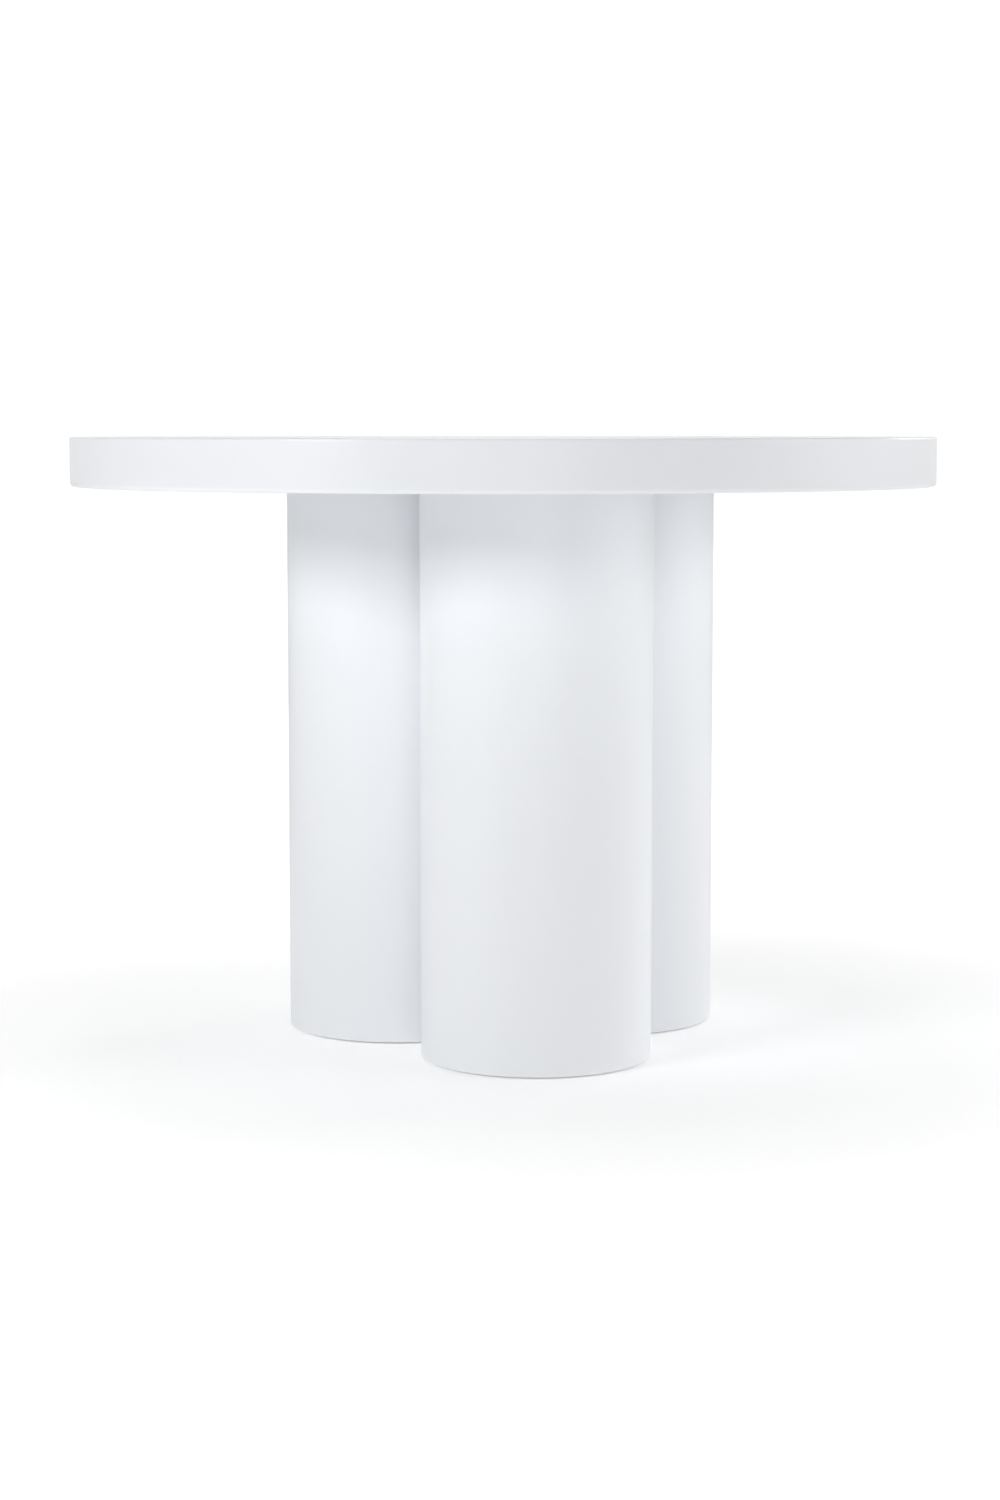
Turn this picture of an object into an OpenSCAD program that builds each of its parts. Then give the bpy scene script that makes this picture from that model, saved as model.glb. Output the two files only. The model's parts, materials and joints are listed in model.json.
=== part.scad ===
// Round pedestal table: a thick round top on three upright columns that are joined side by side.
// Millimetres, +Z up. The origin is on the floor, under the centre of the round top.
// The first column points along -Y, the front of the table.

/* [Top] */
// Height of the whole table
table_h = 750; // [680:1:780]
// Diameter of the round top
top_d = 1067; // [960:1:1300]
// Thickness of the top
top_t = 60; // [52:1:80]
// Thickness of the top's upper panel
panel_t = 18; // [12:1:22]
// Thickness of the top's lower panel
under_t = 9; // [6:1:12]
// Width of the ring under the top's edge
ring_w = 60; // [40:1:80]
// Width of the step in the ring that the lower panel sits in
rebate_w = 7; // [4:1:12]
// Rounding of the top's upper edge
upper_round = 3; // [1:0.5:6]
// Rounding of the top's lower edge
lower_round = 5; // [1:0.5:6]

/* [Top core] */
// Diameter of the block that the base bolts to
block_d = 480; // [460:1:560]
// Number of ribs between the block and the ring
rib_count = 12; // [6:1:18]
// Thickness of each rib
rib_t = 18; // [9:1:24]

/* [Columns] */
// Outer diameter of each column
column_d = 280; // [272:1:300]
// Wall of each column
column_wall = 12; // [10:1:15]
// How far the circles of two neighbouring columns overlap
column_overlap = 13; // [6:1:15]
// How far the base stands to the right of the top's centre
base_shift_x = 13; // [-20:1:20]
// How far the base stands behind the top's centre
base_shift_y = 4; // [-20:1:20]
// Gap between a column and the floor
floor_gap = 2; // [1:0.5:6]
// Rounding of a column's lower edge
foot_round = 3; // [1:0.5:5]

/* [Column ends] */
// Thickness of the disc that closes the top of a column
head_t = 25; // [18:1:32]
// Thickness of the ring that carries the glides
foot_ring_t = 18; // [15:1:25]
// Height of the underside of that ring above the floor
foot_ring_z = 8; // [8:0.5:14]
// Inner diameter of that ring
foot_ring_bore = 150; // [120:1:160]

/* [Fasteners] */
// Distance of each top bolt from the middle of its column
bolt_offset = 50; // [30:1:60]
// Height of the lower connectors that clamp two columns together
connector_low = 90; // [60:1:200]
// Distance of the upper connectors below the top
connector_drop = 80; // [60:1:200]

/* [Glides] */
// Diameter of a glide's pad
pad_d = 28; // [24:1:34]
// Height of a glide's pad
pad_h = 7.8; // [7:0.1:8]
// Length of a glide's stud above its pad's socket
stud_len = 35; // [30:1:50]
// Distance of each glide from the middle of its column
glide_offset = 104; // [95:1:105]
// Angle of each glide from its column's outward direction
glide_angle = 60; // [50:1:65]

/* [Hidden] */
$fn = 180;
LOBES = ["front", "right", "left"];
LOBE_ANGLES = [-90, 30, 150];
// name, column number, side of the column
GLIDES = [
    ["front_left", 0, -1],
    ["front_right", 0, 1],
    ["right_front", 1, -1],
    ["right_rear", 1, 1],
    ["left_rear", 2, -1],
    ["left_front", 2, 1]
];

glue = 0.1;             // gap left for glue between wooden pieces
rib_gap = 0.5;          // gap left at each end of a rib
eps = 1;                // overshoot of every cut

// levels of the top
underside_z = table_h - top_t;
core_z = underside_z + under_t;
panel_z = table_h - panel_t;
core_h = panel_z - core_z;

// radii of the top
top_r = top_d / 2;
ring_bore_r = top_r - ring_w;
rebate_r = ring_bore_r + rebate_w;
block_r = block_d / 2;

// places and radii of the columns
column_r = column_d / 2;
bore_r = column_r - column_wall;
lobe_pitch = column_d - column_overlap;
lobe_r = lobe_pitch / sqrt(3);
neighbour_angle = 150;  // direction of the next column, from the outward direction

// top bolts: M8 socket screws in threaded inserts
bolt_r = 4;
bolt_len = 45;
bolt_hole_r = 4.5;
bolt_head_r = 6.5;
bolt_head_h = 8;
bolt_key_af = 6;
bolt_key_depth = 4;
washer_r = 8;
washer_t = 1.6;
washer_bore_r = 4.2;
insert_r = 6;
insert_bore_r = 4.1;
insert_hole_r = 6.1;
insert_len = 26;
insert_room = 4;        // empty length of hole above an insert
head_z = underside_z - head_t;

// connectors: M6 sleeve nut and screw through two column walls
connector_heights = [connector_low, underside_z - connector_drop];
connector_r = 4.4;
connector_hole_r = 4.5;
connector_bore_r = 3.1;
connector_screw_r = 3;
connector_head_r = 8.5;
connector_head_t = 2.5;
connector_slack = 1;    // empty length at the ends of the screw and the barrel
connector_key_af = 4;
connector_key_depth = 1.8;
// from the joint to the inside of each head, which bears on the round wall
connector_grip = lobe_pitch / 2 - sqrt(bore_r * bore_r - connector_head_r * connector_head_r) + glue;

// glides: M8 stud that turns in a nylon pad
stud_r = 4;
stud_key_af = 4;
stud_key_depth = 3.5;
stud_point = 1;
flange_r = 7;
flange_t = 2.8;
flange_z = 2.6;
pad_round = 1.5;
pad_key_r = 2.6;
play = 0.1;             // gap round the stud in its pad
tee_nut_r = 5.1;
tee_nut_bore_r = 4.08;
tee_nut_len = 12;
tee_nut_flange_r = 10;
tee_nut_flange_t = 1.5;
tee_nut_hole_r = 5.2;
foot_ring_top = foot_ring_z + foot_ring_t;

function across(af) = af / cos(30) / 2;  // corner radius of a hexagon from its width across flats

// What is left of a square corner once it is rounded. The corner is at the origin and the
// shape lies on the side of negative x and positive y.
module corner_waste(r) {
    difference() {
        translate([-r, -eps]) square([r + eps, r + eps]);
        translate([-r, r]) circle(r);
    }
}

// A ring's section with its outer lower and outer upper edges rounded.
module ring_section(inner_r, outer_r, h, low_round = 0, high_round = 0) {
    difference() {
        translate([inner_r, 0]) square([outer_r - inner_r, h]);
        if (low_round > 0) translate([outer_r, 0]) corner_waste(low_round);
        if (high_round > 0) translate([outer_r, h]) mirror([0, 1]) corner_waste(high_round);
    }
}

module at_lobe(k) {
    translate([
        base_shift_x + lobe_r * cos(LOBE_ANGLES[k]),
        base_shift_y + lobe_r * sin(LOBE_ANGLES[k]),
        0
    ]) rotate(LOBE_ANGLES[k]) children();
}

// The joint between column k and the next one round. +X points from column k to the next.
module at_joint(k) {
    at_lobe(k) rotate(neighbour_angle) translate([lobe_pitch / 2, 0, 0]) children();
}

module at_top_bolts(k) {
    at_lobe(k) for (side = [-1, 1]) translate([0, side * bolt_offset, 0]) children();
}

module at_glide(glide) {
    at_lobe(glide[1]) rotate(glide[2] * glide_angle) translate([glide_offset, 0, 0]) children();
}

// Top

module top_panel() {
    color("white") translate([0, 0, panel_z])
        rotate_extrude() ring_section(0, top_r, panel_t, high_round = upper_round);
}

module edge_ring() {
    color("white") translate([0, 0, underside_z]) difference() {
        rotate_extrude() ring_section(ring_bore_r, top_r, panel_z - underside_z, low_round = lower_round);
        translate([0, 0, -eps]) cylinder(r = rebate_r, h = under_t + eps);
    }
}

module under_panel() {
    color("white") difference() {
        translate([0, 0, underside_z]) cylinder(r = rebate_r - glue, h = under_t);
        for (k = [0:2]) at_top_bolts(k)
            translate([0, 0, underside_z - eps]) cylinder(r = insert_hole_r, h = under_t + 2 * eps);
    }
}

module core_block() {
    color("tan") difference() {
        translate([0, 0, core_z]) cylinder(r = block_r, h = core_h);
        for (k = [0:2]) at_top_bolts(k)
            translate([0, 0, core_z - eps])
                cylinder(r = insert_hole_r, h = insert_len - under_t + insert_room + eps);
    }
}

module core_ribs() {
    rib_start = block_r + rib_gap;
    rib_end = ring_bore_r - rib_gap;
    color("tan") for (i = [0:rib_count - 1]) rotate(i * 360 / rib_count)
        translate([rib_start, -rib_t / 2, core_z]) cube([rib_end - rib_start, rib_t, core_h]);
}

module top_inserts() {
    color("gold") for (k = [0:2]) at_top_bolts(k)
        translate([0, 0, underside_z]) difference() {
            cylinder(r = insert_r, h = insert_len);
            translate([0, 0, -eps]) cylinder(r = insert_bore_r, h = insert_len + 2 * eps);
        }
}

// Base

module column(k) {
    column_h = underside_z - floor_gap;
    color("white") at_lobe(k) difference() {
        translate([0, 0, floor_gap])
            rotate_extrude() ring_section(bore_r, column_r, column_h, low_round = foot_round);
        for (side = [-1, 1]) rotate(side * neighbour_angle) {
            translate([lobe_pitch / 2 - glue / 2, -column_r, 0])
                cube([column_r, column_d, underside_z + eps]);
            for (z = connector_heights) translate([bore_r - eps, 0, z])
                rotate([0, 90, 0]) cylinder(r = connector_hole_r, h = column_wall);
        }
    }
}

module head_disc(k) {
    color("tan") difference() {
        at_lobe(k) translate([0, 0, head_z]) cylinder(r = bore_r - glue, h = head_t);
        at_top_bolts(k) translate([0, 0, head_z - eps]) cylinder(r = bolt_hole_r, h = head_t + 2 * eps);
    }
}

module foot_ring(k) {
    color("tan") difference() {
        at_lobe(k) translate([0, 0, foot_ring_z]) difference() {
            cylinder(r = bore_r - glue, h = foot_ring_t);
            translate([0, 0, -eps]) cylinder(d = foot_ring_bore, h = foot_ring_t + 2 * eps);
        }
        for (glide = GLIDES) if (glide[1] == k) at_glide(glide)
            translate([0, 0, foot_ring_z - eps]) cylinder(r = tee_nut_hole_r, h = foot_ring_t + 2 * eps);
    }
}

// Fasteners

module top_bolts() {
    bolt_z = head_z - washer_t;
    color("silver") for (k = [0:2]) at_top_bolts(k) translate([0, 0, bolt_z]) difference() {
        union() {
            translate([0, 0, -bolt_head_h]) cylinder(r = bolt_head_r, h = bolt_head_h);
            cylinder(r = bolt_r, h = bolt_len);
        }
        translate([0, 0, -bolt_head_h - eps])
            cylinder(r = across(bolt_key_af), h = bolt_key_depth + eps, $fn = 6);
    }
}

module top_washers() {
    color("silver") for (k = [0:2]) at_top_bolts(k)
        translate([0, 0, head_z - washer_t]) difference() {
            cylinder(r = washer_r, h = washer_t);
            translate([0, 0, -eps]) cylinder(r = washer_bore_r, h = washer_t + 2 * eps);
        }
}

module connector_head() {
    difference() {
        cylinder(r = connector_head_r, h = connector_head_t);
        translate([0, 0, -eps])
            cylinder(r = across(connector_key_af), h = connector_key_depth + eps, $fn = 6);
    }
}

module connector_sleeves() {
    barrel_len = 2 * connector_grip - connector_slack;
    color("silver") for (k = [0:2], z = connector_heights) at_joint(k)
        translate([-connector_grip - connector_head_t, 0, z]) rotate([0, 90, 0]) {
            connector_head();
            translate([0, 0, connector_head_t]) difference() {
                cylinder(r = connector_r, h = barrel_len);
                translate([0, 0, connector_slack]) cylinder(r = connector_bore_r, h = barrel_len);
            }
        }
}

module connector_screws() {
    screw_len = 2 * connector_grip - 2 * connector_slack;
    color("silver") for (k = [0:2], z = connector_heights) at_joint(k)
        translate([connector_grip + connector_head_t, 0, z]) rotate([0, -90, 0]) {
            connector_head();
            translate([0, 0, connector_head_t]) cylinder(r = connector_screw_r, h = screw_len);
        }
}

module tee_nuts() {
    color("silver") for (glide = GLIDES) at_glide(glide) difference() {
        union() {
            translate([0, 0, foot_ring_top - tee_nut_len]) cylinder(r = tee_nut_r, h = tee_nut_len);
            translate([0, 0, foot_ring_top]) cylinder(r = tee_nut_flange_r, h = tee_nut_flange_t);
        }
        translate([0, 0, foot_ring_top - tee_nut_len - eps])
            cylinder(r = tee_nut_bore_r, h = tee_nut_len + tee_nut_flange_t + 2 * eps);
    }
}

// Glides

module glide_pad(glide) {
    socket_top = flange_z + flange_t + play;
    color("dimgray") at_glide(glide) rotate_extrude() difference() {
        ring_section(pad_key_r, pad_d / 2, pad_h, low_round = pad_round);
        translate([0, flange_z - play]) square([flange_r + play, socket_top - flange_z + play]);
        translate([0, socket_top - eps]) square([stud_r + play, pad_h - socket_top + 2 * eps]);
    }
}

module glide_stud(glide) {
    stud_end = flange_z + flange_t + stud_len;
    color("silver") at_glide(glide) difference() {
        union() {
            translate([0, 0, flange_z]) cylinder(r = flange_r, h = flange_t);
            translate([0, 0, flange_z + flange_t]) cylinder(r = stud_r, h = stud_len - stud_point);
            translate([0, 0, stud_end - stud_point])
                cylinder(r1 = stud_r, r2 = stud_r - stud_point, h = stud_point);
        }
        translate([0, 0, flange_z - eps])
            cylinder(r = across(stud_key_af), h = stud_key_depth + eps, $fn = 6);
    }
}

top_panel();
edge_ring();
under_panel();
core_block();
core_ribs();
top_inserts();
for (k = [0:2]) {
    column(k);
    head_disc(k);
    foot_ring(k);
}
top_bolts();
top_washers();
connector_sleeves();
connector_screws();
tee_nuts();
for (glide = GLIDES) {
    glide_pad(glide);
    glide_stud(glide);
}
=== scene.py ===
import json
from math import atan2, cos, hypot, pi, radians, sin, sqrt

import bmesh
import bpy
from mathutils import Matrix, Vector


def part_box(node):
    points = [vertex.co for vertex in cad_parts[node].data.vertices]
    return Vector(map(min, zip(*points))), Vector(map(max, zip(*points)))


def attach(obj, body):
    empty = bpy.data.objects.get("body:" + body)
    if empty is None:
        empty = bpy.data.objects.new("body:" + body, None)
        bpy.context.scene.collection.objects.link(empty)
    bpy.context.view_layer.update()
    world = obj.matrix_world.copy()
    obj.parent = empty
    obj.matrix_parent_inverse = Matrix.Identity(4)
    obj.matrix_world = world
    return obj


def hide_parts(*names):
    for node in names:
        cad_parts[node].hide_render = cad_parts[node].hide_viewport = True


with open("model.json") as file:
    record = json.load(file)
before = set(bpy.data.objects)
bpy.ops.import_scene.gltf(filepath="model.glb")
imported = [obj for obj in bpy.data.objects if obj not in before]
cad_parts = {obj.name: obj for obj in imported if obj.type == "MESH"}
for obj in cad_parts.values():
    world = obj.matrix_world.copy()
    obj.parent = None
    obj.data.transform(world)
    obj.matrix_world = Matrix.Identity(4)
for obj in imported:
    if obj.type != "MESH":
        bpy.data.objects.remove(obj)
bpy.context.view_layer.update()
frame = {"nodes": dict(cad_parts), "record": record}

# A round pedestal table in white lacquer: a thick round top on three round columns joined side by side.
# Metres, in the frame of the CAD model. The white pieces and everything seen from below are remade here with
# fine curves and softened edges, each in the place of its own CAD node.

MM = 0.001
LOBES = ("front", "right", "left")
OUTWARD = {"front": radians(-90), "right": radians(30), "left": radians(150)}
GLIDES = ("front_left", "front_right", "right_front", "right_rear", "left_rear", "left_front")

# the photograph's camera, about the middle of the table top
CAMERA_AZIMUTH = radians(-10.4)
CAMERA_DISTANCE = 3.735
CAMERA_HEIGHT = 0.758
CAMERA_PITCH = radians(6.1)
CAMERA_YAW = radians(0.06)
CAMERA_LENS_MM = 71.8

# sizes that the CAD boxes don't give
WALL = 12 * MM
UPPER_ROUND = 3 * MM
LOWER_ROUND = 5 * MM
FOOT_ROUND = 3 * MM
RING_WIDTH = 60 * MM
FOOT_RING_BORE_R = 75 * MM
GLUE = 0.1 * MM                         # gap for the glue between two pieces
HALF_PITCH = (267 * MM - GLUE) / 2      # from a column's axis to its joint with the next one
NEIGHBOUR = radians(150)                # the way to the next column, from a column's outward direction
CREASE_ROUND = 0.8 * MM
BOLT_OFFSET = 50 * MM
CONNECTOR_HEIGHTS = (90 * MM, 610 * MM)
CONNECTOR_HOLE_R = 4.5 * MM
BOLT_HOLE_R = 4.5 * MM
TEE_NUT_HOLE_R = 5.2 * MM
INSERT_HOLE_R = 6.1 * MM
M8_R = 4 * MM
M8_PITCH = 1.25 * MM
M8_DEPTH = 0.72 * MM
M8_LEAD_IN = 0.9 * MM

# how the meshes are made
SOFT = 0.4 * MM                         # rounding of a plain edge
SUPPORT = 0.7 * MM                      # from a rounding to the next row of points, to keep the flat flat
INSET = 40 * MM                         # from an edge to a further row of points on a wide face
BORE_INSET = 30 * MM
DISC_INSET = 20 * MM
SHARP = radians(32)                     # faces that meet at more than this are not shaded as one
HOLE_LENGTH = 60 * MM                   # of a cutter, which goes right through a board
TOP_SIDES = 360
BOARD_SIDES = 180
PAD_SIDES = 64
HOLE_SIDES = 40
SCREW_SIDES = 36
UPWARD = Vector((0, 0, 1))


# ---------------------------------------------------------------- mesh helpers

def middle(node):
    """The middle of a CAD node's box, and its lowest and highest Z."""
    low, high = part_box(node)
    return Vector(((low.x + high.x) / 2, (low.y + high.y) / 2, 0)), low.z, high.z


def half_width(node):
    low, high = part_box(node)
    return (high.x - low.x) / 2


def circle(r, z, count):
    return [Vector((r * cos(2 * pi * i / count), r * sin(2 * pi * i / count), z)) for i in range(count)]


def hexagon(width, z, count):
    """A hexagon of that width across flats, with count points that lie at even angles."""
    points = []
    for i in range(count):
        angle = 2 * pi * i / count
        r = width / 2 / cos((angle + pi / 6) % (pi / 3) - pi / 6)
        points.append(Vector((r * cos(angle), r * sin(angle), z)))
    return points


def quarter(cx, cz, r, start, steps=7):
    """Points (radius, height) on a quarter turn about (cx, cz), counterclockwise from the angle start."""
    angles = [start + pi / 2 * i / steps for i in range(steps + 1)]
    return [(cx + r * cos(a), cz + r * sin(a)) for a in angles]


def loft(mesh, rings, closed=False, matrix=None):
    """Skins a row of rings with quads. An open row is capped at both ends."""
    rows = [[mesh.verts.new(matrix @ p if matrix else p) for p in ring] for ring in rings]
    pairs = list(zip(rows, rows[1:]))
    if closed:
        pairs.append((rows[-1], rows[0]))
    for low, high in pairs:
        for i in range(len(low)):
            j = (i + 1) % len(low)
            mesh.faces.new((low[i], low[j], high[j], high[i]))
    if not closed:
        mesh.faces.new(list(reversed(rows[0])))
        mesh.faces.new(rows[-1])


def piece(name, mesh, body, replaced, materials):
    """Makes an object from a bmesh, in the place of the CAD nodes it stands for."""
    bmesh.ops.remove_doubles(mesh, verts=mesh.verts, dist=1e-7)
    bmesh.ops.recalc_face_normals(mesh, faces=mesh.faces)
    data = bpy.data.meshes.new(name)
    mesh.to_mesh(data)
    mesh.free()
    for material in materials:
        data.materials.append(material)
    data.polygons.foreach_set("use_smooth", [True] * len(data.polygons))
    data.set_sharp_from_angle(angle=SHARP)
    made = bpy.data.objects.new(name, data)
    bpy.context.scene.collection.objects.link(made)
    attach(made, body)
    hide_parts(*replaced)
    return made


def drill(made, holes):
    """Cuts round holes in a piece. Each hole is (middle, axis, radius, length)."""
    cutters = bmesh.new()
    for place, axis, r, length in holes:
        turn = UPWARD.rotation_difference(axis).to_matrix().to_4x4()
        ends = [circle(r, -length / 2, HOLE_SIDES), circle(r, length / 2, HOLE_SIDES)]
        loft(cutters, ends, matrix=Matrix.Translation(place) @ turn)
    bmesh.ops.recalc_face_normals(cutters, faces=cutters.faces)
    data = bpy.data.meshes.new("cutter")
    cutters.to_mesh(data)
    cutters.free()
    for material in made.data.materials:
        data.materials.append(material)
    data.polygons.foreach_set("material_index", [len(data.materials) - 1] * len(data.polygons))
    cutter = bpy.data.objects.new("cutter", data)
    bpy.context.scene.collection.objects.link(cutter)
    modifier = made.modifiers.new("holes", "BOOLEAN")
    modifier.operation = "DIFFERENCE"
    modifier.solver = "EXACT"
    modifier.object = cutter
    bpy.context.view_layer.update()
    evaluated = made.evaluated_get(bpy.context.evaluated_depsgraph_get())
    cut = bpy.data.meshes.new_from_object(evaluated)
    made.modifiers.clear()
    old = made.data
    cut.name = old.name
    made.data = cut
    bpy.data.meshes.remove(old)
    bpy.data.objects.remove(cutter)
    bpy.data.meshes.remove(data)
    made.data.polygons.foreach_set("use_smooth", [True] * len(made.data.polygons))
    made.data.set_sharp_from_angle(angle=SHARP)


# ---------------------------------------------------------------- materials

class Shader:
    """A principled material with its procedural textures in the frame's own metres."""

    def __init__(self, name, **constants):
        self.material = bpy.data.materials.new(name)
        self.material.use_nodes = True
        self.nodes = self.material.node_tree.nodes
        self.links = self.material.node_tree.links
        self.surface = self.nodes["Principled BSDF"]
        self.place = self.nodes.new("ShaderNodeTexCoord").outputs["Object"]
        self.normal = None
        for key, value in constants.items():
            self.surface.inputs[key.replace("_", " ")].default_value = value

    def noise(self, scale, detail=3.0, rough=0.55, stretch=(1, 1, 1)):
        mapping = self.nodes.new("ShaderNodeMapping")
        mapping.inputs["Scale"].default_value = stretch
        texture = self.nodes.new("ShaderNodeTexNoise")
        texture.inputs["Scale"].default_value = scale
        texture.inputs["Detail"].default_value = detail
        texture.inputs["Roughness"].default_value = rough
        self.links.new(self.place, mapping.inputs["Vector"])
        self.links.new(mapping.outputs["Vector"], texture.inputs["Vector"])
        return texture.outputs["Fac"]

    def cells(self, scale, stretch=(1, 1, 1)):
        mapping = self.nodes.new("ShaderNodeMapping")
        mapping.inputs["Scale"].default_value = stretch
        texture = self.nodes.new("ShaderNodeTexVoronoi")
        texture.inputs["Scale"].default_value = scale
        self.links.new(self.place, mapping.inputs["Vector"])
        self.links.new(mapping.outputs["Vector"], texture.inputs["Vector"])
        return texture.outputs["Distance"]

    def remap(self, value, low, high, out_low, out_high):
        node = self.nodes.new("ShaderNodeMapRange")
        self.links.new(value, node.inputs["Value"])
        for key, number in zip(("From Min", "From Max", "To Min", "To Max"), (low, high, out_low, out_high)):
            node.inputs[key].default_value = number
        return node.outputs["Result"]

    def distance(self, point):
        """The distance from a point of the frame."""
        node = self.nodes.new("ShaderNodeVectorMath")
        node.operation = "DISTANCE"
        self.links.new(self.place, node.inputs[0])
        node.inputs[1].default_value = point
        return node.outputs["Value"]

    def math(self, operation, first, second):
        node = self.nodes.new("ShaderNodeMath")
        node.operation = operation
        self.links.new(first, node.inputs[0])
        self.links.new(second, node.inputs[1])
        return node.outputs["Value"]

    def mix(self, factor, first, second):
        """Mixes two colours, each a tuple or the output of an earlier mix. The node has inputs A and B
        and an output for each type of data: inputs 6 and 7 and output 2 are those for colours."""
        node = self.nodes.new("ShaderNodeMix")
        node.data_type = "RGBA"
        self.links.new(factor, node.inputs["Factor"])
        for socket, colour in ((node.inputs[6], first), (node.inputs[7], second)):
            if isinstance(colour, tuple):
                socket.default_value = (*colour, 1)
            else:
                self.links.new(colour, socket)
        return node.outputs[2]

    def colour(self, output):
        self.links.new(output, self.surface.inputs["Base Color"])

    def roughness(self, output):
        self.links.new(output, self.surface.inputs["Roughness"])

    def bump(self, height, distance, strength=1.0):
        node = self.nodes.new("ShaderNodeBump")
        node.inputs["Distance"].default_value = distance
        node.inputs["Strength"].default_value = strength
        self.links.new(height, node.inputs["Height"])
        if self.normal:
            self.links.new(self.normal, node.inputs["Normal"])
        self.normal = node.outputs["Normal"]
        self.links.new(self.normal, self.surface.inputs["Normal"])


def white_lacquer():
    """Sprayed satin lacquer: a faint cloudiness, orange peel and the long waves of sanded board under it."""
    s = Shader("white_lacquer", IOR=1.5, Coat_Weight=0.25, Coat_Roughness=0.18, Coat_IOR=1.5)
    cloud = s.noise(2.2, detail=2)
    s.colour(s.mix(s.remap(cloud, 0.3, 0.7, 0, 1), (0.866, 0.886, 0.913), (0.882, 0.900, 0.926)))
    hairlines = s.remap(s.noise(60, detail=5, stretch=(1, 9, 1)), 0.62, 0.75, 0, 0.05)
    s.roughness(s.math("ADD", s.remap(s.noise(7, detail=4), 0.3, 0.7, 0.30, 0.37), hairlines))
    s.bump(s.noise(9, detail=1), 1.2 * MM, 0.25)
    s.bump(s.noise(330, detail=2), 0.06 * MM, 0.5)
    return s.material


def raw_board():
    """Sawn fibreboard: tan, flecked with darker fibres, with a felted nap."""
    s = Shader("raw_mdf", IOR=1.45, Specular_IOR_Level=0.25)
    fleck = s.remap(s.noise(900, detail=4, rough=0.7, stretch=(1, 1, 2.5)), 0.42, 0.66, 0, 1)
    patch = s.remap(s.noise(16, detail=4), 0.3, 0.7, 0, 1)
    base = s.mix(patch, (0.50, 0.355, 0.215), (0.60, 0.445, 0.29))
    s.colour(s.mix(fleck, base, (0.33, 0.215, 0.12)))
    s.roughness(s.remap(s.noise(400, detail=3), 0.3, 0.7, 0.78, 0.95))
    s.bump(s.noise(1400, detail=4, rough=0.7), 0.12 * MM, 0.6)
    s.bump(s.noise(180, detail=2), 0.1 * MM, 0.4)
    return s.material


def zinc():
    """Bright zinc plate: small crystals, a blue and yellow passivation tint and fine scratches."""
    s = Shader("zinc_steel", Metallic=1.0)
    tint = s.remap(s.noise(160, detail=3), 0.35, 0.65, 0, 1)
    s.colour(s.mix(tint, (0.60, 0.62, 0.66), (0.70, 0.69, 0.63)))
    grain = s.remap(s.cells(1500), 0, 0.8, 0.26, 0.40)
    scratch = s.remap(s.noise(700, detail=4, stretch=(1, 1, 12)), 0.6, 0.75, 0, 0.14)
    s.roughness(s.math("ADD", grain, scratch))
    s.bump(s.noise(2500, detail=3), 0.02 * MM, 0.5)
    return s.material


def nylon():
    """Moulded natural nylon: milky, finely matt, with grey scuffs where it slides on the floor."""
    s = Shader("nylon", IOR=1.53, Subsurface_Weight=0.25, Subsurface_Scale=1.5 * MM)
    s.surface.inputs["Subsurface Radius"].default_value = (1.0, 0.95, 0.85)
    scuff = s.remap(s.noise(420, detail=5, stretch=(1, 3, 1)), 0.55, 0.7, 0, 0.7)
    tone = s.mix(s.remap(s.noise(60), 0.3, 0.7, 0, 1), (0.70, 0.69, 0.65), (0.76, 0.75, 0.71))
    s.colour(s.mix(scuff, tone, (0.56, 0.55, 0.52)))
    s.roughness(s.remap(s.noise(900, detail=3), 0.3, 0.7, 0.42, 0.58))
    s.bump(s.noise(3000, detail=2), 0.03 * MM, 0.5)
    return s.material


LACQUER = white_lacquer()
BOARD = raw_board()
ZINC = zinc()
NYLON = nylon()
SLOT_MATERIALS = {"white_lacquer": LACQUER, "raw_mdf": BOARD, "zinc_steel": ZINC, "nylon": NYLON}


# ---------------------------------------------------------------- the top

_, PANEL_BOTTOM, TOP_Z = middle("top_panel")
UNDERSIDE_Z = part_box("edge_ring")[0].z
TOP_R = half_width("top_panel")
RING_BORE_R = TOP_R - RING_WIDTH
UNDER_R = half_width("under_panel")
UNDER_TOP_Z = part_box("under_panel")[1].z


def turned(profile, sides, closed=True, centre=None):
    """A bmesh turned from (radius, height) points about an upright axis."""
    mesh = bmesh.new()
    matrix = Matrix.Translation(centre) if centre else None
    loft(mesh, [circle(r, z, sides) for r, z in profile], closed=closed, matrix=matrix)
    return mesh


def top_panel():
    profile = [(TOP_R - INSET, PANEL_BOTTOM), (TOP_R, PANEL_BOTTOM), (TOP_R, TOP_Z - UPPER_ROUND - SUPPORT)]
    profile += quarter(TOP_R - UPPER_ROUND, TOP_Z - UPPER_ROUND, UPPER_ROUND, 0)
    profile += [(TOP_R - UPPER_ROUND - SUPPORT, TOP_Z), (TOP_R - INSET, TOP_Z)]
    piece("top_panel_lacquered", turned(profile, TOP_SIDES, closed=False), "table",
          ["top_panel"], [LACQUER])


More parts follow.
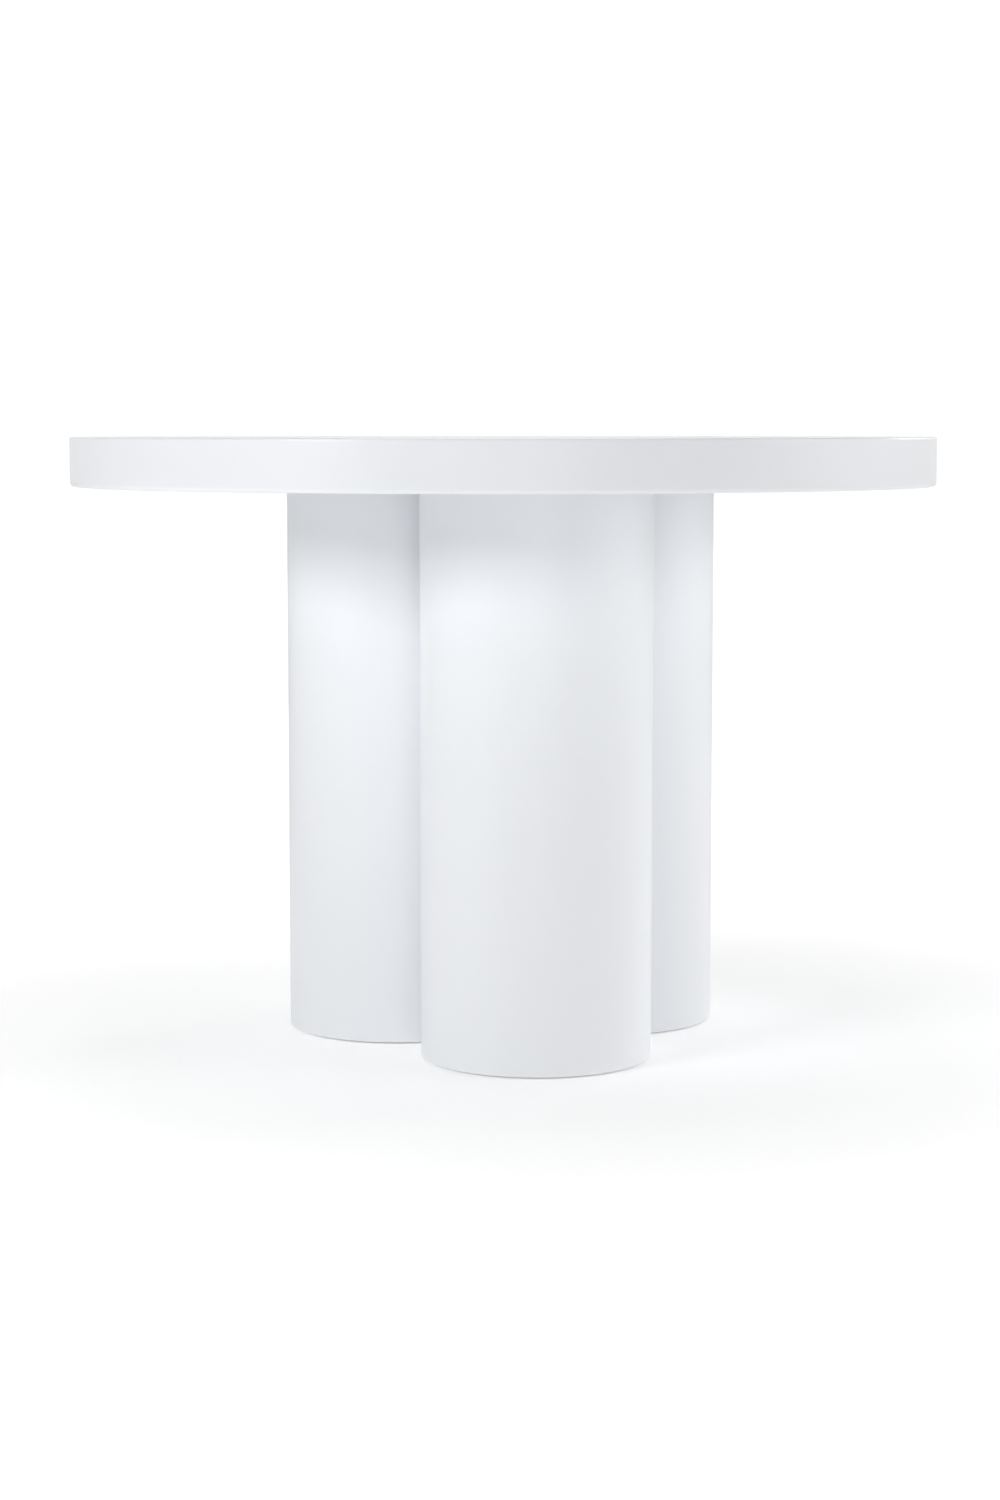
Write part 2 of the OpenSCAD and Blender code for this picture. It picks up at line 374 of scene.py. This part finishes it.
def edge_ring():
    rebate_r = UNDER_R + GLUE
    profile = quarter(TOP_R - LOWER_ROUND, UNDERSIDE_Z + LOWER_ROUND, LOWER_ROUND, -pi / 2, steps=9)
    profile += [(TOP_R, UNDERSIDE_Z + LOWER_ROUND + SUPPORT)]
    profile += [(TOP_R, PANEL_BOTTOM), (RING_BORE_R, PANEL_BOTTOM)]
    profile += [(RING_BORE_R, UNDER_TOP_Z), (rebate_r, UNDER_TOP_Z), (rebate_r, UNDERSIDE_Z + SOFT)]
    profile += [(rebate_r + SOFT, UNDERSIDE_Z), (rebate_r + SOFT + SUPPORT, UNDERSIDE_Z)]
    profile += [(TOP_R - LOWER_ROUND - SUPPORT, UNDERSIDE_Z)]
    piece("edge_ring_lacquered", turned(profile, TOP_SIDES), "table",
          ["edge_ring"], [LACQUER])


def under_panel():
    profile = [(UNDER_R - INSET, UNDERSIDE_Z), (UNDER_R - SOFT - SUPPORT, UNDERSIDE_Z)]
    profile += [(UNDER_R - SOFT, UNDERSIDE_Z), (UNDER_R, UNDERSIDE_Z + SOFT), (UNDER_R, UNDER_TOP_Z)]
    made = piece("under_panel_lacquered", turned(profile, TOP_SIDES, closed=False), "table",
                 ["under_panel"], [LACQUER])
    drill(made, [(place + Vector((0, 0, UNDERSIDE_Z)), UPWARD, INSERT_HOLE_R, HOLE_LENGTH)
                 for place in bolt_places()])


def bolt_places():
    """The middles of the six top bolts, on the floor."""
    places = []
    for lobe in LOBES:
        centre = middle(f"{lobe}_head_disc")[0]
        sideways = OUTWARD[lobe] + pi / 2
        for offset in (-BOLT_OFFSET, BOLT_OFFSET):
            places.append(centre + offset * Vector((cos(sideways), sin(sideways), 0)))
    return places


# ---------------------------------------------------------------- the columns

COLUMN_R = half_width("front_column")
COLUMN_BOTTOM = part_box("front_column")[0].z
BORE_R = COLUMN_R - WALL


def column_outline(r, z):
    """A circle of radius r with two flats that face the neighbouring columns, its corners softened.
    It starts in the outward direction, along +X."""
    c = CREASE_ROUND
    side_steps, rear_steps, corner_steps, flat_steps = 66, 14, 6, 12
    corner = Vector((HALF_PITCH - c, sqrt((r - c) ** 2 - (HALF_PITCH - c) ** 2)))
    turn = atan2(corner.y, corner.x)
    points = []

    def arc(start, end, steps):
        for i in range(steps):
            angle = start + (end - start) * i / steps
            points.append((r * cos(angle), r * sin(angle)))

    def flat(direction):
        """The softened corner, the flat and the second corner, about a flat's own direction."""
        local = []
        for i in range(corner_steps + 1):
            angle = turn * (1 - i / corner_steps)
            local.append((corner.x + c * cos(angle), -corner.y - c * sin(angle)))
        for i in range(1, flat_steps):
            local.append((HALF_PITCH, -corner.y + 2 * corner.y * i / flat_steps))
        for i in range(corner_steps + 1):
            angle = turn * i / corner_steps
            local.append((corner.x + c * cos(angle), corner.y + c * sin(angle)))
        for x, y in local[:-1]:
            points.append((x * cos(direction) - y * sin(direction), x * sin(direction) + y * cos(direction)))

    arc(0, NEIGHBOUR - turn, side_steps)
    flat(NEIGHBOUR)
    arc(NEIGHBOUR + turn, 2 * pi - NEIGHBOUR - turn, rear_steps)
    flat(2 * pi - NEIGHBOUR)
    arc(-NEIGHBOUR + turn, 0, side_steps)
    return [Vector((x, y, z)) for x, y in points]


def column(lobe):
    outer = quarter(COLUMN_R - FOOT_ROUND, COLUMN_BOTTOM + FOOT_ROUND, FOOT_ROUND, -pi / 2, steps=8)
    outer += [(COLUMN_R, COLUMN_BOTTOM + FOOT_ROUND + SUPPORT)]
    outer += [(COLUMN_R, COLUMN_BOTTOM + INSET), (COLUMN_R, UNDERSIDE_Z - INSET)]
    outer += [(COLUMN_R, UNDERSIDE_Z - SOFT - SUPPORT), (COLUMN_R, UNDERSIDE_Z - SOFT)]
    outer += [(COLUMN_R - SOFT, UNDERSIDE_Z)]
    rings = [column_outline(r, z) for r, z in outer]
    outline = column_outline(COLUMN_R, 0)

    def bore(r, z):
        """A ring on the bore whose points lie level with the outline's."""
        return [Vector((r * p.x / hypot(p.x, p.y), r * p.y / hypot(p.x, p.y), z)) for p in outline]

    rings += [bore(BORE_R, UNDERSIDE_Z), bore(BORE_R, UNDERSIDE_Z - BORE_INSET)]
    rings += [bore(BORE_R, COLUMN_BOTTOM + BORE_INSET)]
    rings += [bore(BORE_R, COLUMN_BOTTOM + SOFT), bore(BORE_R + SOFT, COLUMN_BOTTOM)]
    mesh = bmesh.new()
    centre = middle(f"{lobe}_head_disc")[0]
    placed = Matrix.Translation(centre) @ Matrix.Rotation(OUTWARD[lobe], 4, "Z")
    loft(mesh, rings, closed=True, matrix=placed)
    inside = BORE_R + 0.5 * SOFT
    for face in mesh.faces:
        on_bore = all(hypot(v.co.x - centre.x, v.co.y - centre.y) < inside for v in face.verts)
        face.material_index = 1 if on_bore else 0
    made = piece(f"{lobe}_column_lacquered", mesh, "table",
                 [f"{lobe}_column"], [LACQUER, BOARD])
    holes = []
    for side in (-1, 1):
        angle = OUTWARD[lobe] + side * NEIGHBOUR
        direction = Vector((cos(angle), sin(angle), 0))
        for height in CONNECTOR_HEIGHTS:
            place = centre + direction * HALF_PITCH + Vector((0, 0, height))
            holes.append((place, direction, CONNECTOR_HOLE_R, HOLE_LENGTH / 2))
    drill(made, holes)


def head_disc(lobe):
    centre, low, high = middle(f"{lobe}_head_disc")
    r = half_width(f"{lobe}_head_disc")
    profile = [(r - DISC_INSET, low), (r - SOFT, low), (r, low + SOFT), (r, high)]
    mesh = turned(profile, BOARD_SIDES, closed=False, centre=centre)
    made = piece(f"{lobe}_head_disc_board", mesh, "table", [f"{lobe}_head_disc"], [BOARD])
    sideways = OUTWARD[lobe] + pi / 2
    across = Vector((cos(sideways), sin(sideways), 0))
    halfway_up = Vector((0, 0, (low + high) / 2))
    drill(made, [(centre + offset * across + halfway_up, UPWARD, BOLT_HOLE_R, HOLE_LENGTH)
                 for offset in (-BOLT_OFFSET, BOLT_OFFSET)])


def foot_ring(lobe):
    centre, low, high = middle(f"{lobe}_foot_ring")
    r = half_width(f"{lobe}_foot_ring")
    bore_r = FOOT_RING_BORE_R
    profile = [(bore_r + SOFT, low), (bore_r + 2 * SOFT, low), (r - SOFT, low), (r, low + SOFT)]
    profile += [(r, high), (bore_r + SOFT, high), (bore_r, high - SOFT), (bore_r, low + SOFT)]
    mesh = turned(profile, BOARD_SIDES, centre=centre)
    made = piece(f"{lobe}_foot_ring_board", mesh, "table", [f"{lobe}_foot_ring"], [BOARD])
    places = [middle(f"{glide}_glide_pad")[0] for glide in GLIDES if glide.startswith(lobe + "_")]
    halfway_up = Vector((0, 0, (low + high) / 2))
    drill(made, [(place + halfway_up, UPWARD, TEE_NUT_HOLE_R, HOLE_LENGTH) for place in places])


# ---------------------------------------------------------------- screws and glides

def thread(low, high):
    """Rings for a right-hand M8 thread, which fades out at its lower end and tapers at its upper."""
    rows = int((high - low) / M8_PITCH * 6)
    rings = []
    for i in range(rows + 1):
        z = low + (high - low) * i / rows
        fade = min(1, (z - low) / M8_PITCH)
        taper = max(0, M8_LEAD_IN - (high - z))
        ring = []
        for j in range(SCREW_SIDES):
            angle = 2 * pi * j / SCREW_SIDES
            wave = 0.5 - 0.5 * cos(2 * pi * (z / M8_PITCH) - angle)
            r = min(M8_R - M8_DEPTH * wave * fade, M8_R - taper)
            ring.append(Vector((r * cos(angle), r * sin(angle), z)))
        rings.append(ring)
    return rings


def socket(width, depth, z):
    """Rings from the bottom of a hexagon socket out to its chamfered mouth at height z, facing down."""
    drill_r = width / 2 * 0.9
    rings = [circle(0.2 * MM, z + depth + drill_r * 0.5, SCREW_SIDES)]
    rings += [circle(drill_r, z + depth, SCREW_SIDES)]
    rings += [hexagon(width, z + depth - 0.05 * MM, SCREW_SIDES), hexagon(width, z + 0.25 * MM, SCREW_SIDES)]
    rings += [circle(width / 2 / cos(pi / 6) + 0.1 * MM, z, SCREW_SIDES)]
    return rings


def glide_stud(glide):
    """A stud with a captive flange below, a hexagon socket in its underside and a thread above."""
    centre, low, high = middle(f"{glide}_glide_stud")
    flange_r, flange_top = 7 * MM, low + 2.8 * MM
    rings = socket(4 * MM, 3.4 * MM, low)
    rings += [circle(r, z, SCREW_SIDES) for r, z in (
        (flange_r - 0.5 * MM, low), (flange_r, low + 0.5 * MM), (flange_r, flange_top - 0.4 * MM),
        (flange_r - 0.4 * MM, flange_top), (M8_R + 0.1 * MM, flange_top), (M8_R, flange_top + 0.1 * MM))]
    rings += thread(flange_top + 4 * MM, high)
    mesh = bmesh.new()
    loft(mesh, rings, matrix=Matrix.Translation(centre))
    piece(f"{glide}_stud_threaded", mesh, f"{glide}_stud", [f"{glide}_glide_stud"], [ZINC])


def glide_pad(glide):
    """A nylon pad with a rounded foot, a ring groove underneath, a key hole and the stud's flange socket."""
    centre, low, high = middle(f"{glide}_glide_pad")
    r = half_width(f"{glide}_glide_pad")
    foot_round, top_round = 1.5 * MM, 0.5 * MM
    key_hole_r, neck_r, flange_room_r = 2.6 * MM, 4.1 * MM, 7.1 * MM
    flange_low, flange_high = low + 2.5 * MM, low + 5.5 * MM
    groove_z, grip_r = low + 0.5 * MM, r - 0.25 * MM
    profile = [(key_hole_r, low + 0.3 * MM), (key_hole_r + 0.3 * MM, low)]
    profile += [(8.2 * MM, low), (8.6 * MM, groove_z), (9.6 * MM, groove_z), (10 * MM, low)]
    profile += [(r - foot_round - 0.2 * MM, low)]
    profile += quarter(r - foot_round, low + foot_round, foot_round, -pi / 2, steps=6)
    profile += [(r, high - 1.9 * MM), (grip_r, high - 1.6 * MM), (grip_r, high - 1.3 * MM)]
    profile += [(r, high - 1.0 * MM), (r, high - top_round)]
    profile += quarter(r - top_round, high - top_round, top_round, 0, steps=4)
    profile += [(neck_r + 0.4 * MM, high), (neck_r, high - 0.4 * MM), (neck_r, flange_high)]
    profile += [(flange_room_r, flange_high), (flange_room_r, flange_low), (key_hole_r, flange_low)]
    piece(f"{glide}_pad_moulded", turned(profile, PAD_SIDES, centre=centre), f"{glide}_pad",
          [f"{glide}_glide_pad"], [NYLON])


def top_bolts():
    """Socket head screws with knurled heads, up through the head discs."""
    _, low, high = middle("top_bolts")
    head_r, head_top = 6.5 * MM, low + 8 * MM
    thread_low = head_top + 17 * MM
    knurl = 0.022
    sides = SCREW_SIDES

    def knurled(r, z):
        """A circle with every second point a little nearer the axis."""
        return [p * (1 - knurl * (i % 2)) + Vector((0, 0, z * knurl * (i % 2)))
                for i, p in enumerate(circle(r, z, sides))]

    rings = socket(6 * MM, 4 * MM, low)
    rings += [circle(head_r - 0.6 * MM, low, sides), circle(head_r - 0.15 * MM, low + 0.5 * MM, sides)]
    rings += [knurled(head_r, low + 0.9 * MM), knurled(head_r, head_top - 0.5 * MM)]
    rings += [circle(head_r - 0.3 * MM, head_top, sides), circle(M8_R + 0.3 * MM, head_top, sides)]
    rings += [circle(M8_R, head_top + 0.3 * MM, sides)]
    rings += thread(thread_low, high)
    mesh = bmesh.new()
    for place in bolt_places():
        loft(mesh, rings, matrix=Matrix.Translation(place))
    piece("top_bolts_threaded", mesh, "table", ["top_bolts"], [ZINC])


def furnish():
    top_panel()
    edge_ring()
    under_panel()
    for lobe in LOBES:
        column(lobe)
        head_disc(lobe)
        foot_ring(lobe)
    for glide in GLIDES:
        glide_pad(glide)
        glide_stud(glide)
    top_bolts()
    slots = {part["node"]: part["material_slot"] for part in frame["record"]["subparts"]}
    for name, node in frame["nodes"].items():
        node.data.materials.clear()
        node.data.materials.append(SLOT_MATERIALS[slots[name]])


# ---------------------------------------------------------------- floor, light and camera

def floor():
    """A pale floor with painted light. Light rays see it glow a little, a painted fill light from below.
    As the camera sees it, its glow has a painted shadow under the columns and a painted shade pool in front
    of them, and it is as white as the backdrop far off. From beneath it can be seen through."""
    half = 30
    corners = [(-half, -half, 0), (half, -half, 0), (half, half, 0), (-half, half, 0)]
    data = bpy.data.meshes.new("floor")
    data.from_pydata(corners, [], [(0, 1, 2, 3)])
    s = Shader("pale_floor", Specular_IOR_Level=0.2, Emission_Color=(1, 1, 1, 1))
    s.colour(s.mix(s.noise(0.8), (0.938, 0.935, 0.934), (0.95, 0.948, 0.947)))
    s.roughness(s.remap(s.noise(3), 0.3, 0.7, 0.6, 0.7))
    beside = s.distance(middle("front_head_disc")[0])
    for lobe in ("right", "left"):
        beside = s.math("MINIMUM", beside, s.distance(middle(f"{lobe}_head_disc")[0]))
    # painted shadow: the camera sees no glow under the columns, a dark line where they stand
    outside_painted_column_shadow = s.remap(beside, COLUMN_R - 8 * MM, COLUMN_R, 0, 1)
    shade_middle = Vector((0.1, -0.3, 0))
    # painted shade pool: the glow the camera sees is least at shade_middle, in front of the base
    painted_shade_pool = s.remap(s.distance(shade_middle), 0, 0.8, 0.264, 0.351)
    # a glow only the camera sees, rising away from the table so the far floor is as white as the backdrop
    far = s.remap(s.distance(Vector((0, 0, 0))), 0.75, 2.8, 0, 0.5)
    is_seen = s.nodes.new("ShaderNodeLightPath").outputs["Is Camera Ray"]
    seen = s.math("MULTIPLY", is_seen, s.math("ADD", s.math("MULTIPLY", outside_painted_column_shadow, painted_shade_pool), far))
    # painted glow: light rays see an emission of 0.25 that lights the table from below, and the camera sees
    # only the glow above
    s.links.new(s.math("ADD", seen, s.remap(is_seen, 0, 1, 0.25, 0)), s.surface.inputs["Emission Strength"])
    sides = s.nodes.new("ShaderNodeMixShader")
    s.links.new(s.nodes.new("ShaderNodeNewGeometry").outputs["Backfacing"], sides.inputs["Fac"])
    s.links.new(s.surface.outputs["BSDF"], sides.inputs[1])
    s.links.new(s.nodes.new("ShaderNodeBsdfTransparent").outputs["BSDF"], sides.inputs[2])
    s.links.new(sides.outputs["Shader"], s.nodes["Material Output"].inputs["Surface"])
    data.materials.append(s.material)
    made = bpy.data.objects.new("floor", data)
    bpy.context.scene.collection.objects.link(made)


def studio_surround():
    """A white surround as the camera sees it. The light it gives is four glows: wide ones on the
    backdrop, at the left and above, and a strong narrow one at the right."""
    world = bpy.data.worlds.new("studio")
    bpy.context.scene.world = world
    world.use_nodes = True
    nodes, links = world.node_tree.nodes, world.node_tree.links
    coordinates = nodes.new("ShaderNodeTexCoord")

    def calculate(operation, first, second):
        node = nodes.new("ShaderNodeMath")
        node.operation = operation
        for socket, value in zip(node.inputs, (first, second)):
            if isinstance(value, (int, float)):
                socket.default_value = value
            else:
                links.new(value, socket)
        return node.outputs["Value"]

    def glow(direction, power, strength):
        """Light from round about a direction, less wide with a higher power."""
        dot = nodes.new("ShaderNodeVectorMath")
        dot.operation = "DOT_PRODUCT"
        dot.inputs[1].default_value = direction
        links.new(coordinates.outputs["Generated"], dot.inputs[0])
        falloff = calculate("POWER", calculate("MAXIMUM", dot.outputs["Value"], 0.0), power)
        return calculate("MULTIPLY", falloff, strength)

    forward = Vector((-sin(CAMERA_AZIMUTH), cos(CAMERA_AZIMUTH), 0))
    right = Vector((cos(CAMERA_AZIMUTH), sin(CAMERA_AZIMUTH), 0))
    total = glow(forward, 2, 0.97)
    for part in (glow(right, 6, 2.4), glow(-right, 2, 0.2), glow(UPWARD, 1, 0.12)):
        total = calculate("ADD", total, part)
    fill = nodes.new("ShaderNodeBackground")
    fill.inputs["Color"].default_value = (1, 1, 1, 1)
    links.new(total, fill.inputs["Strength"])
    seen = nodes["Background"]
    seen.inputs["Color"].default_value = (1, 1, 1, 1)
    seen.inputs["Strength"].default_value = 1.05
    path = nodes.new("ShaderNodeLightPath")
    mix = nodes.new("ShaderNodeMixShader")
    links.new(path.outputs["Is Camera Ray"], mix.inputs["Fac"])
    links.new(fill.outputs["Background"], mix.inputs[1])
    links.new(seen.outputs["Background"], mix.inputs[2])
    links.new(mix.outputs["Shader"], nodes["World Output"].inputs["Surface"])


def softbox(name, azimuth, elevation, distance, size, power, target_z=0.6):
    """A rectangle of light that faces the table, at an azimuth in degrees from the camera's own."""
    angle = CAMERA_AZIMUTH + radians(azimuth)
    rise = radians(elevation)
    away = Vector((sin(angle) * cos(rise), -cos(angle) * cos(rise), sin(rise)))
    data = bpy.data.lights.new(name, "AREA")
    data.shape = "RECTANGLE"
    data.size, data.size_y = size
    data.energy = power
    made = bpy.data.objects.new(name, data)
    made.location = Vector((0, 0, target_z)) + away * distance
    made.rotation_euler = (-away).to_track_quat("-Z", "Y").to_euler()
    bpy.context.scene.collection.objects.link(made)


def camera():
    data = bpy.data.cameras.new("camera")
    data.lens = CAMERA_LENS_MM
    data.sensor_width = 36
    data.clip_end = 200
    made = bpy.data.objects.new("camera", data)
    x, y = CAMERA_DISTANCE * sin(CAMERA_AZIMUTH), -CAMERA_DISTANCE * cos(CAMERA_AZIMUTH)
    made.location = (x, y, CAMERA_HEIGHT)
    made.rotation_euler = (pi / 2 - CAMERA_PITCH, 0, CAMERA_AZIMUTH + CAMERA_YAW)
    bpy.context.scene.collection.objects.link(made)
    bpy.context.scene.camera = made


camera()
furnish()
floor()
studio_surround()
softbox("key", azimuth=-46, elevation=17, distance=4.0, size=(1.5, 0.85), power=57)
softbox("fill", azimuth=0, elevation=5, distance=6.0, size=(4.0, 3.0), power=36, target_z=0.9)
softbox("side", azimuth=75, elevation=17, distance=4.0, size=(1.3, 0.85), power=14)
softbox("rim", azimuth=130, elevation=17, distance=4.0, size=(1.3, 0.85), power=15)
softbox("overhead", azimuth=0, elevation=90, distance=1.6, size=(1.2, 1.2), power=13, target_z=0.75)
bpy.context.scene.view_settings.view_transform = "Standard"
